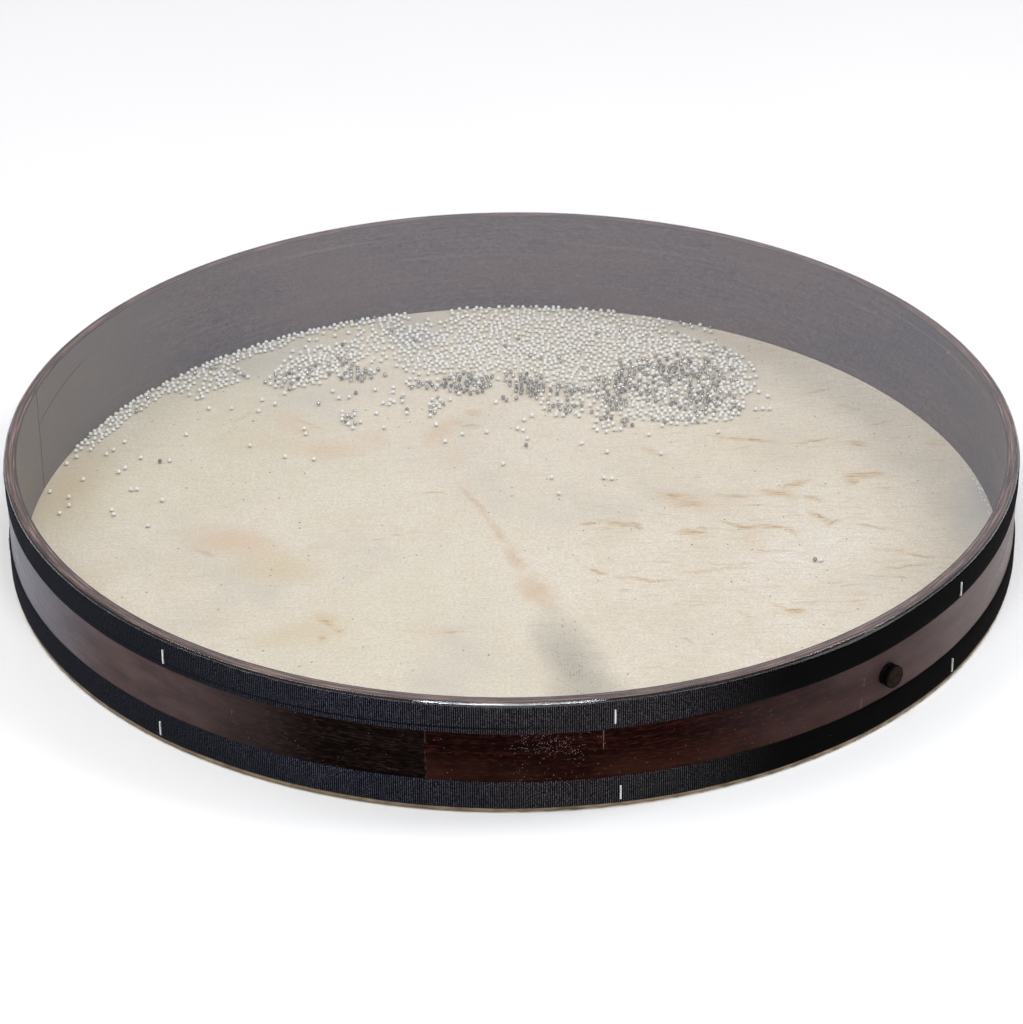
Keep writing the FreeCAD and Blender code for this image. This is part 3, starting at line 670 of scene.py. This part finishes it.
def grosgrain(name):
    """Black ribbed ribbon: threads across the ribs and lint, with painted shade in the rib valleys,
    along a crease, at the right and at the far left, and painted cool light at the left.
    """
    surface = Surface(name)
    threads_at = surface.combine(surface.x, surface.y, surface.product(surface.z, 2.6))
    threads = surface.noise(threads_at, 900.0, 2.0, 0.5)
    tone = surface.ramp(
        threads,
        (0.36, (0.012, 0.01, 0.012)),
        (0.5, (0.056, 0.05, 0.054)),
        (0.64, (0.17, 0.158, 0.164)),
    )
    faded = surface.smooth(surface.noise(surface.place, 18.0, 3.0), 0.35, 0.7, 0.0, 0.5)
    tone = surface.mix(faded, tone, (0.04, 0.038, 0.042))
    ribs = surface.math("COSINE", surface.product(surface.math("ARCTAN2", surface.y, surface.x), RIBS))
    # Painted shade in the valleys between the ribs.
    tone = surface.mix(surface.smooth(ribs, 0.8, -0.2), tone, (0.002, 0.002, 0.003))
    # Painted shade along a crease where the ribbon steps over the film's edge, at the left.
    crease_off = surface.math("SUBTRACT", surface.z, FILM_EDGE - 0.7 * MM)
    crease = surface.smooth(surface.math("ABSOLUTE", crease_off), 0.9 * MM, 0.2 * MM)
    crease = surface.product(crease, surface.by_x(0.2, -0.1))
    tone = surface.tint(tone, (0.001, 0.001, 0.003), crease, 0.8)
    # Painted shade: near black towards the right.
    shaded_right = surface.by_x(0.2, 0.5)
    tone = surface.mix(shaded_right, tone, (0.0025, 0.002, 0.0022))
    # Painted cool light: bluer and a little darker towards the left.
    cool_light_tint = surface.by_x(0.05, -0.25, 0.0, 0.7)
    tone = surface.mix(cool_light_tint, tone, surface.mix(1.0, tone, (0.7, 0.8, 1.15), "MULTIPLY"))
    # Painted shade: darker and bluer towards the far left.
    shaded_left = surface.by_x(-0.3, -0.65, 0.0, 0.65)
    tone = surface.mix(shaded_left, tone, (0.01, 0.011, 0.016))
    lint = surface.dots(surface.place, 500.0, 0.16, 0.012)
    tone = surface.tint(tone, (0.16, 0.15, 0.15), lint, 0.5)
    bump = surface.bump(threads, 0.08 * MM, 0.8)
    return surface.finish(
        Base_Color=tone,
        Roughness=0.62,
        Normal=bump,
        Specular_IOR_Level=0.02,
    )


def bright_wire(name):
    """Galvanised staple wire with rubbed, slightly dull patches."""
    surface = Surface(name)
    rub = surface.noise(surface.vector("MULTIPLY", surface.place, (1.0, 1.0, 0.25)), 900.0, 3.0)
    tone = surface.ramp(rub, (0.3, (0.62, 0.61, 0.58)), (0.7, (0.92, 0.91, 0.89)))
    rough = surface.smooth(rub, 0.3, 0.7, 0.25, 0.5)
    bump = surface.bump(rub, 0.03 * MM, 0.5)
    return surface.finish(Base_Color=tone, Metallic=0.55, Roughness=rough, Normal=bump)


def plug_rubber(name):
    """Black moulded rubber, rubbed a little browner on its outer face."""
    surface = Surface(name)
    face = surface.smooth(surface.radius, WALL_OUTER + 5.2 * MM, WALL_OUTER + 5.8 * MM)
    blotches = surface.noise(surface.place, 260.0, 4.0)
    tone = surface.ramp(blotches, (0.3, (0.001, 0.001, 0.001)), (0.7, (0.004, 0.003, 0.003)))
    lighter_brown = surface.ramp(blotches, (0.4, (0.002, 0.0015, 0.001)), (0.6, (0.02, 0.011, 0.006)))
    tone = surface.mix(face, tone, lighter_brown)
    rough = surface.smooth(blotches, 0.3, 0.7, 0.38, 0.6)
    bump = surface.bump(surface.noise(surface.place, 1500.0, 3.0), 0.05 * MM, 0.5)
    return surface.finish(Base_Color=tone, Roughness=rough, Normal=bump, Specular_IOR_Level=0.03)


def bead_glaze(name, low, high, metallic):
    """A glossy bead, its tone a little different from one bead to the next, with painted shade on its
    lower half.
    """
    surface = Surface(name)
    cell = surface.noise(surface.place, 180.0, 1.0)
    tone = surface.ramp(cell, (0.35, low), (0.65, high))
    # Painted shade on the lower half of each bead.
    underside_shade = surface.smooth(surface.z, BEAD_MIDDLE, BEAD_MIDDLE - 0.7 * BEAD_RADIUS)
    tone = surface.tint(tone, (0.2, 0.17, 0.13), underside_shade, 0.85)
    scuffs = surface.noise(surface.place, 1800.0, 3.0)
    rough = surface.smooth(scuffs, 0.3, 0.7, 0.1, 0.22)
    bump = surface.bump(scuffs, 0.02 * MM, 0.5)
    return surface.finish(Base_Color=tone, Metallic=metallic, Roughness=rough, Normal=bump)


def pale_floor():
    """A plain pale floor, clear from below, and clear to light on its way to the underside."""
    surface = Surface("pale_floor")
    fine = surface.noise(surface.place, 5.0, 3.0)
    tone = surface.ramp(fine, (0.0, (0.9, 0.885, 0.87)), (1.0, (0.94, 0.925, 0.91)))
    matt = surface.add("BsdfDiffuse", {"Color": tone}).outputs[0]
    seen = surface.add("LightPath").outputs["Is Camera Ray"]
    lift = surface.smooth(surface.radius, 3.5 * DRUM_RADIUS, 15 * DRUM_RADIUS, 0.09, 0.66)
    glow = surface.add("Emission", {"Color": (1, 1, 1), "Strength": surface.product(seen, lift)})
    matt = surface.add("AddShader", {0: matt, 1: glow.outputs[0]}).outputs[0]
    clear = surface.add("BsdfTransparent").outputs[0]
    below = surface.add("NewGeometry").outputs["Backfacing"]
    covered = surface.math("LESS_THAN", surface.radius, DRUM_RADIUS)
    passing = surface.product(covered, surface.math("SUBTRACT", 1.0, seen))
    open_part = surface.largest(below, passing)
    return surface.output(surface.add("MixShader", {0: open_part, 1: matt, 2: clear}).outputs[0])


# ---------------------------------------------------------------- shapes


def new_piece(name, points, faces, material, body):
    """A smooth mesh piece with the given material, that rides on a body."""
    mesh = bpy.data.meshes.new(name)
    mesh.from_pydata(points, [], faces)
    mesh.validate()
    mesh.shade_smooth()
    mesh.materials.append(material)
    piece = bpy.data.objects.new(name, mesh)
    bpy.context.scene.collection.objects.link(piece)
    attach(piece, body)
    return piece


class Ripple:
    """A small random wave round the drum: a sum of sines that meets itself after a full turn."""

    def __init__(self, seed, slowest, fastest, count, height):
        chance = random.Random(seed)
        self.waves = [
            (chance.randint(slowest, fastest), chance.uniform(0, 2 * math.pi), chance.uniform(0.4, 1))
            for _ in range(count)
        ]
        self.scale = height / sum(size for _, _, size in self.waves)

    def at(self, turns):
        return self.scale * sum(size * np.sin(k * turns + phase) for k, phase, size in self.waves)


pucker = Ripple(seed=5, slowest=9, fastest=60, count=12, height=0.22 * MM)


def ease(value, start, end):
    """A smooth step from 0 at start to 1 at end, for arrays."""
    share = np.clip((value - start) / (end - start), 0, 1)
    return share * share * (3 - 2 * share)


def make_film():
    """The clear film: a flat disc, a puckered slope over the rim and a skirt down to its edge."""
    columns, skirt_rows = 1440, 8
    thick = 0.23 * MM
    slope, bend = 0.8 * MM, 0.25 * MM
    shallow, deep = 0.08 * MM, 0.22 * MM
    turns = np.arange(columns) * 2 * math.pi / columns
    flat_end = FILM_RADIUS - slope - bend
    bend_low = FILM_TOP - slope - bend
    flat_reaches = (0.5 * flat_end, 0.9 * flat_end, flat_end - 1 * MM)
    # Each point: distance from the axis, height, how its pucker leans outward and up, and how much.
    profile = [(reach, FILM_TOP, 0.0, 1.0, 0.0) for reach in flat_reaches]
    half = math.sqrt(0.5)
    profile += [
        (flat_end, FILM_TOP, 0.0, 1.0, 0.0),
        (flat_end + bend, FILM_TOP - shallow, 0.5, 0.9, 0.1),
        (flat_end + 1.5 * bend, FILM_TOP - deep, half, half, 0.2),
        (FILM_RADIUS - deep, bend_low + 1.5 * bend, half, half, 0.9),
        (FILM_RADIUS - shallow, bend_low + bend, 0.9, 0.5, 1.0),
        (FILM_RADIUS, bend_low, 1.0, 0.0, 1.0),
    ]
    for row in range(1, skirt_rows + 1):
        share = row / skirt_rows
        height = bend_low + (FILM_EDGE - bend_low) * share
        swell = 1 - float(ease(share, 0.1, 0.6))
        profile.append((FILM_RADIUS, height, 1.0, 0.0, swell))
    points, rings = [(0, 0, FILM_TOP), (0, 0, FILM_TOP - thick)], []
    outward = pucker.at(turns)
    for side, order in ((0.0, profile), (thick, profile[::-1])):
        for reach, height, across, up, swell in order:
            push = np.maximum(outward * swell, 0) - side
            reaches = reach + across * push
            heights = height + up * push
            rings.append(len(points))
            points += list(zip(reaches * np.cos(turns), reaches * np.sin(turns), heights))
    faces = []
    for near, far in zip(rings, rings[1:]):
        for i in range(columns):
            j = (i + 1) % columns
            faces.append((near + i, far + i, far + j, near + j))
    for i in range(columns):
        j = (i + 1) % columns
        faces.append((0, rings[0] + i, rings[0] + j))
        faces.append((1, rings[-1] + j, rings[-1] + i))
    film = new_piece("film_head", points, faces, clear_film("film_gloss"), "drum")
    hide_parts("clear_head")
    return film


def make_ribbon(name, node, support, step_height, over_film, material, dips, seed):
    """A ribbed ribbon wound once round the drum, over the step at the edge of the skirt below it."""
    columns_per_rib = 4
    rib_height = 0.13 * MM
    lift = 0.03 * MM
    low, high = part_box(node)[0].z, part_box(node)[1].z
    outer = radii(node)[1]
    thick = outer - support - lift
    end_gap = 0.25 * MM / outer
    start = math.radians(RIBBON_JOIN_AZIMUTH) + end_gap
    turns = np.linspace(start, start + 2 * math.pi - 2 * end_gap, RIBS * columns_per_rib + 1)
    rib = 0.5 + 0.5 * np.cos(turns * RIBS)
    hang = np.zeros(len(turns))
    for azimuth, half_width, depth in dips:
        off = (np.degrees(turns) - azimuth + 180) % 360 - 180
        hang += depth * np.exp(-((off / half_width) ** 2))
    lower_edge = low + 0.2 * MM - 0.6 * hang + Ripple(seed, 3, 40, 8, 0.35 * MM).at(turns)
    upper_edge = high - 0.2 * MM - hang + Ripple(seed + 1, 3, 40, 8, 0.25 * MM).at(turns)
    sag = Ripple(seed + 2, 8, 60, 10, 0.12 * MM).at(turns)
    drop = support - WALL_OUTER
    outer_rows = (0.0, 0.05, 0.17, 0.25, 0.5, 0.88, 0.95, 1.0)
    inner_rows = (1.0, 0.95, 0.88, 0.3, 0.25, 0.17, 0.0)
    points, rings = [], []
    for side, rows in (("outer", outer_rows), ("inner", inner_rows)):
        for share in rows:
            heights = lower_edge + (upper_edge - lower_edge) * share
            past = step_height - heights if over_film else heights - step_height
            fallen = ease(past, 0.15 * MM, 1.3 * MM)
            base = support + lift - drop * 0.8 * fallen
            if over_film:
                base = base + np.maximum(pucker.at(turns), 0) * ease(heights, high - 5 * MM, high)
            if side == "outer":
                selvage = 1 - 0.75 * math.exp(-((min(share, 1 - share) / 0.035) ** 2))
                reaches = base + (thick - rib_height + rib_height * rib) * selvage + sag * selvage
            else:
                reaches = base
            rings.append(len(points))
            points += list(zip(reaches * np.cos(turns), reaches * np.sin(turns), heights))
    faces = []
    for near, far in zip(rings, rings[1:] + rings[:1]):
        for i in range(len(turns) - 1):
            faces.append((near + i, near + i + 1, far + i + 1, far + i))
    faces.append(rings[::-1])
    faces.append([ring + len(turns) - 1 for ring in rings])
    ribbon = new_piece(name, points, faces, material, "drum")
    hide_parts(node)
    return ribbon


def bead_centres(node):
    """The middle of each bead in a CAD node, found from the bead's topmost vertex."""
    points = node_points(node)
    tops = points[points[:, 2] > BEAD_HIGH - 1e-6]
    return [(x, y) for x, y in np.unique(np.round(tops[:, :2], 6), axis=0)]


# Heaps of extra beads: x, y, turn in degrees, half length and half width, in shares of the drum's
# radius, then how many grey beads and how many white ones.
BEAD_HEAPS = (
    (-0.335, 0.657, -10, 0.036, 0.025, 12, 5), (-0.36, 0.71, -50, 0.03, 0.015, 6, 4),
    (-0.097, 0.605, 0, 0.048, 0.042, 32, 8), (0.225, 0.598, 15, 0.05, 0.035, 28, 5),
    (0.262, 0.676, 60, 0.055, 0.03, 16, 8), (0.368, 0.657, -30, 0.09, 0.05, 52, 18),
    (0.408, 0.535, 90, 0.065, 0.03, 26, 12), (0.222, 0.52, 90, 0.035, 0.025, 14, 2),
    (0.033, 0.605, -60, 0.055, 0.035, 28, 6), (0.128, 0.575, -10, 0.06, 0.025, 16, 8),
    (0.1, 0.505, -20, 0.05, 0.04, 10, 16), (-0.19, 0.605, 0, 0.035, 0.03, 8, 8),
    (-0.455, 0.655, 40, 0.07, 0.045, 12, 46), (0.09, 0.745, -8, 0.21, 0.14, 10, 330),
    (-0.085, 0.8, 90, 0.17, 0.06, 0, 80), (0.33, 0.62, 20, 0.18, 0.16, 20, 170),
    (0.27, 0.8, -25, 0.16, 0.07, 4, 80), (0.08, 0.895, 0, 0.17, 0.05, 0, 50),
    (-0.235, 0.83, -10, 0.1, 0.085, 3, 75), (-0.18, 0.71, -30, 0.08, 0.055, 0, 40),
    (-0.4, 0.735, 30, 0.1, 0.045, 2, 50), (0.2, 0.44, 90, 0.05, 0.02, 3, 10),
    (0.245, 0.435, 90, 0.03, 0.012, 4, 5), (0.36, 0.465, 0, 0.09, 0.04, 6, 36),
    (0.455, 0.5, 80, 0.06, 0.035, 6, 26), (0.46, 0.72, -60, 0.07, 0.03, 2, 24),
    (0.3, 0.885, -12, 0.05, 0.022, 0, 20), (0.48, 0.6, 90, 0.09, 0.025, 1, 14),
    (-0.345, 0.45, 90, 0.04, 0.02, 3, 3), (-0.16, 0.5, 90, 0.045, 0.015, 3, 4),
    (-0.27, 0.52, 0, 0.02, 0.015, 0, 4),
)
# Runs of extra beads against the wall: from and to what azimuth, and how deep, in shares of the
# drum's radius, then how many grey beads and how many white ones.
BEAD_RUNS = (
    (104, 131, 0.02, 2, 50),
    (131, 141, 0.11, 5, 66),
    (121, 160, 0.036, 4, 95),
    (76, 98, 0.03, 3, 30),
    (62, 67, 0.02, 3, 5),
)
# Beads that lie alone: x and y in shares of the drum's radius.
LONE_WHITE_BEADS = (
    (-0.644, 0.502), (-0.596, 0.502), (-0.533, 0.538), (-0.504, 0.52), (-0.538, 0.489),
    (-0.684, 0.387), (-0.811, 0.358), (-0.831, 0.324), (-0.849, 0.307), (-0.771, 0.289),
    (-0.71, 0.276), (-0.547, 0.338), (-0.471, 0.289), (-0.882, 0.2), (-0.78, 0.156),
    (-0.768, 0.157), (-0.904, 0.127), (-0.9, 0.093), (-0.916, 0.062), (-0.733, 0.009),
    (-0.383, 0.576), (-0.369, 0.544), (-0.347, 0.548), (-0.333, 0.47), (-0.358, 0.448),
    (-0.319, 0.437), (-0.269, 0.411), (-0.437, 0.409), (-0.486, 0.567), (-0.292, 0.581),
    (-0.253, 0.589), (-0.253, 0.569), (-0.232, 0.527), (-0.222, 0.474), (-0.174, 0.511),
    (-0.172, 0.463), (-0.152, 0.53), (-0.13, 0.533), (-0.159, 0.422), (-0.033, 0.519),
    (0.013, 0.403), (-0.052, 0.389), (-0.103, 0.381), (0.027, 0.441), (0.044, 0.459),
    (0.174, 0.406), (0.18, 0.392), (0.2, 0.386), (0.217, 0.394), (0.23, 0.396),
    (0.318, 0.411), (0.35, 0.418), (0.369, 0.418), (0.435, 0.381), (0.531, 0.557),
    (0.493, 0.73), (0.52, 0.48), (0.535, 0.482), (0.55, 0.48), (-0.945, 0.15),
    (0.61, -0.146), (0.289, 0.372), (0.19, 0.19), (0.206, 0.186), (0.096, 0.127),
    (0.082, 0.193), (0.311, 0.29),
)
LONE_GREY_BEADS = (
    (-0.333, 0.567), (-0.411, 0.519), (-0.358, 0.478), (-0.333, 0.483), (-0.33, 0.43),
    (-0.233, 0.541), (-0.222, 0.489), (-0.172, 0.485), (-0.156, 0.544), (-0.017, 0.541),
    (-0.01, 0.528), (0.011, 0.537), (0.03, 0.33), (0.598, -0.143), (-0.73, 0.273),
)


def heap_spot(chance, x, y, turn, half_length, half_width):
    """A random spot in a heap of beads, more likely near its middle."""
    typical, furthest = 0.56, 1.12
    way = chance.uniform(0, 2 * math.pi)
    out = min(abs(chance.gauss(0, typical)), furthest)
    spot = Vector((half_length * math.cos(way), half_width * math.sin(way))) * out
    spot.rotate(Matrix.Rotation(math.radians(turn), 2))
    return DRUM_RADIUS * (x + spot.x), DRUM_RADIUS * (y + spot.y)


def run_spot(chance, start, end, depth):
    """A random spot in a run of beads, more likely near the wall."""
    way = math.radians(chance.uniform(start, end))
    out = BEAD_REACH - depth * DRUM_RADIUS * chance.random() ** 1.6
    return out * math.cos(way), out * math.sin(way)


def scatter_beads():
    """Spots for the extra beads, clear of the CAD's beads, of each other and of the wall."""
    chance = random.Random(23)
    spacing = 2.04 * BEAD_RADIUS
    # Beads lie further apart along Y, so that each one shows from the front.
    squeeze = np.array((1.0, 0.78))
    taken = [spot for node in sorted(nodes) if "beads" in node for spot in bead_centres(node)]
    found = {"grey": [], "white": []}
    for kind, places in (("grey", LONE_GREY_BEADS), ("white", LONE_WHITE_BEADS)):
        for x, y in places:
            spot = (x * DRUM_RADIUS, y * DRUM_RADIUS)
            if (((np.asarray(taken) - spot) * squeeze) ** 2).sum(1).min() > spacing**2:
                taken.append(spot)
                found[kind].append(spot)
    for make_spot, places in ((heap_spot, BEAD_HEAPS), (run_spot, BEAD_RUNS)):
        for *place, grey, white in places:
            for kind, count in (("grey", grey), ("white", white)):
                kept = tries = 0
                while kept < count and tries < 30 * count:
                    tries += 1
                    spot = make_spot(chance, *place)
                    near = (((np.asarray(taken) - spot) * squeeze) ** 2).sum(1).min()
                    room = spacing * chance.uniform(1.0, 1.14)
                    if near < room**2 or math.hypot(*spot) > BEAD_REACH:
                        continue
                    taken.append(spot)
                    found[kind].append(spot)
                    kept += 1
    return found


def make_beads(glazes):
    """The extra beads, each a small round ball on the goatskin."""
    ball = bmesh.new()
    bmesh.ops.create_icosphere(ball, subdivisions=2, radius=BEAD_RADIUS)
    ball_points = np.array([v.co for v in ball.verts])
    ball_faces = [[v.index for v in face.verts] for face in ball.faces]
    ball.free()
    for kind, spots in scatter_beads().items():
        points, faces = [], []
        for x, y in spots:
            first = len(points)
            points += list(ball_points + (x, y, BEAD_MIDDLE))
            faces += [[first + i for i in face] for face in ball_faces]
        new_piece(f"{kind}_beads_fill", points, faces, glazes[kind], "beads")


def make_floor():
    half = 30.0
    height = cad_low.z - 0.2 * MM
    corners = [(x * half, y * half, height) for x, y in ((-1, -1), (1, -1), (1, 1), (-1, 1))]
    mesh = bpy.data.meshes.new("floor")
    mesh.from_pydata(corners, [], [(0, 1, 2, 3)])
    mesh.materials.append(pale_floor())
    floor = bpy.data.objects.new("floor", mesh)
    bpy.context.scene.collection.objects.link(floor)


def paint(material, *names):
    """Gives CAD nodes a material."""
    for name in names:
        nodes[name].data.materials.clear()
        nodes[name].data.materials.append(material)


make_camera()
make_world()
make_softbox("front_softbox", 269, 60, size=(1.0, 0.45), power=26, colour=SKYLIGHT)
make_softbox("right_softbox", 6, 50, size=(0.6, 0.8), power=15, colour=SKYLIGHT)
make_softbox("left_softbox", 170, 62, size=(1.2, 1.2), power=12)
make_softbox("glint_card", 269, 60, size=(1.15, 0.9), power=17, colour=COLD, gloss_only=True)

white_glaze = bead_glaze("white_glaze", (0.96, 0.945, 0.9), (0.99, 0.985, 0.96), 0.0)
grey_glaze = bead_glaze("grey_glaze", (0.2, 0.2, 0.19), (0.72, 0.72, 0.7), 0.7)
paint(stained_outer("stained_outer"), "outer_ply")
paint(plain_core("plain_core"), "core_ply")
paint(stained_inner("stained_inner"), "inner_ply")
paint(goatskin("goat_hide"), "skin_head")
paint(bright_wire("bright_wire"), *[name for name in nodes if "staple" in name])
paint(plug_rubber("worn_rubber"), "vent_plug")
paint(white_glaze, *[name for name in nodes if name.startswith("white_beads")])
paint(grey_glaze, *[name for name in nodes if name.startswith("grey_beads")])

make_film()
ribbon_weave = grosgrain("black_grosgrain")
upper_support, lower_support = (FILM_RADIUS, FILM_EDGE, True), (SKIN_RADIUS, SKIN_EDGE, False)
make_ribbon("ribbon_upper", "upper_ribbon", *upper_support, ribbon_weave, UPPER_DIPS, seed=31)
make_ribbon("ribbon_lower", "lower_ribbon", *lower_support, ribbon_weave, LOWER_DIPS, seed=41)
make_beads({"white": white_glaze, "grey": grey_glaze})
make_floor()

bpy.context.scene.view_settings.view_transform = "Standard"
